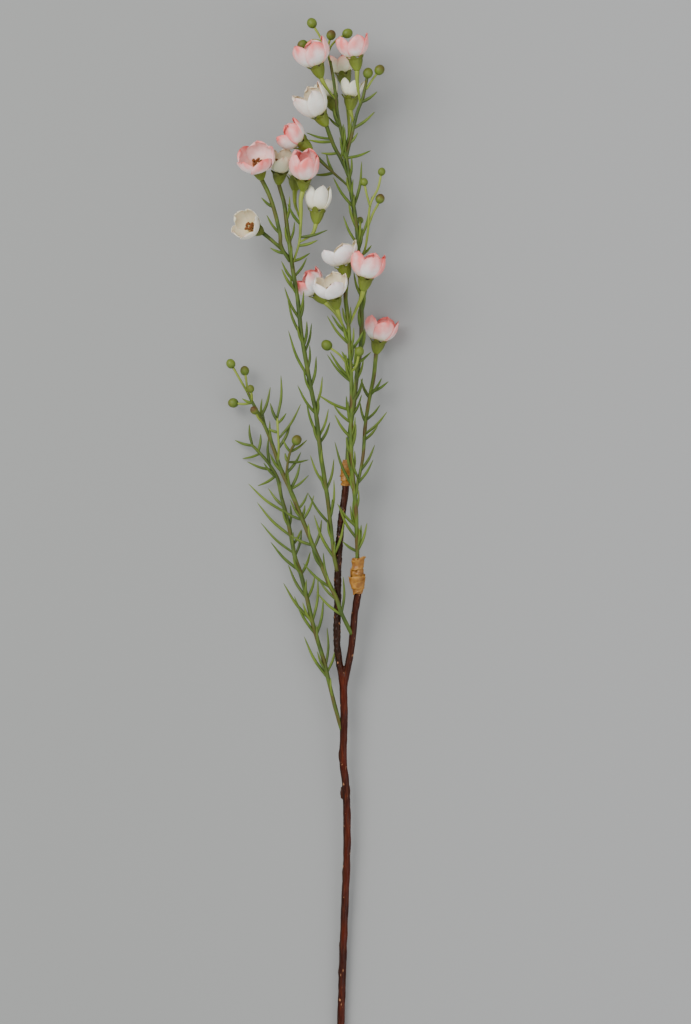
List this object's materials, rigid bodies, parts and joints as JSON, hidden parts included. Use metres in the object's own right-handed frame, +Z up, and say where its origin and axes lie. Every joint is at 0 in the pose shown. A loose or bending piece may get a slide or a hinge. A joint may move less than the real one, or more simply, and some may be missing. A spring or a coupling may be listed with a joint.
{
  "type": "artificial waxflower stem",
  "caption": "Cut artificial waxflower stem lying flat: forked brown stem, green sprays of needle leaves and round buds, pink-edged cup-shaped flowers, tape-bound joins",
  "frame": {"origin": "centre of the bounding box at its lowest level, the surface that the stem lies on", "axes": "X across the stem, Y along it from the cut end to the flowering tip, Z up from the surface"},
  "size_m": [0.1121, 0.7008, 0.0594],
  "materials": {
    "bark": "satin reddish-brown moulded bark with pale flecks and low knots",
    "tape": "crinkled ochre floral tape with a waxy sheen",
    "leaf": "olive green moulded needles, stalks, buds and cups, lighter at the stalks",
    "petal": "thin matte off-white petals shading to pink at the edges",
    "flower_centre": "orange-brown disc and stamens in a cream cup"
  },
  "bodies": {
    "root": {"brown_stem": "bark", "wrap_upper": "tape", "wrap_lower": "tape", "spray_tall": "leaf", "spray_middle": "leaf", "spray_flowering": "leaf", "spray_low_left": "leaf", "spray_high_left": "leaf", "flower_1_petals": "petal", "flower_1_centre": "flower_centre", "flower_2_petals": "petal", "flower_2_centre": "flower_centre", "flower_3_petals": "petal", "flower_3_centre": "flower_centre", "flower_4_petals": "petal", "flower_4_centre": "flower_centre", "flower_5_petals": "petal", "flower_5_centre": "flower_centre", "flower_6_petals": "petal", "flower_6_centre": "flower_centre", "flower_7_petals": "petal", "flower_7_centre": "flower_centre", "flower_8_petals": "petal", "flower_8_centre": "flower_centre", "flower_9_petals": "petal", "flower_9_centre": "flower_centre", "flower_10_petals": "petal", "flower_10_centre": "flower_centre", "flower_11_petals": "petal", "flower_11_centre": "flower_centre", "flower_12_petals": "petal", "flower_12_centre": "flower_centre", "flower_13_petals": "petal", "flower_13_centre": "flower_centre", "flower_14_petals": "petal", "flower_14_centre": "flower_centre", "flower_15_petals": "petal", "flower_15_centre": "flower_centre", "flower_16_petals": "petal", "flower_16_centre": "flower_centre", "flower_17_petals": "petal", "flower_17_centre": "flower_centre", "flower_18_petals": "petal", "flower_18_centre": "flower_centre"}
  },
  "joints": []
}
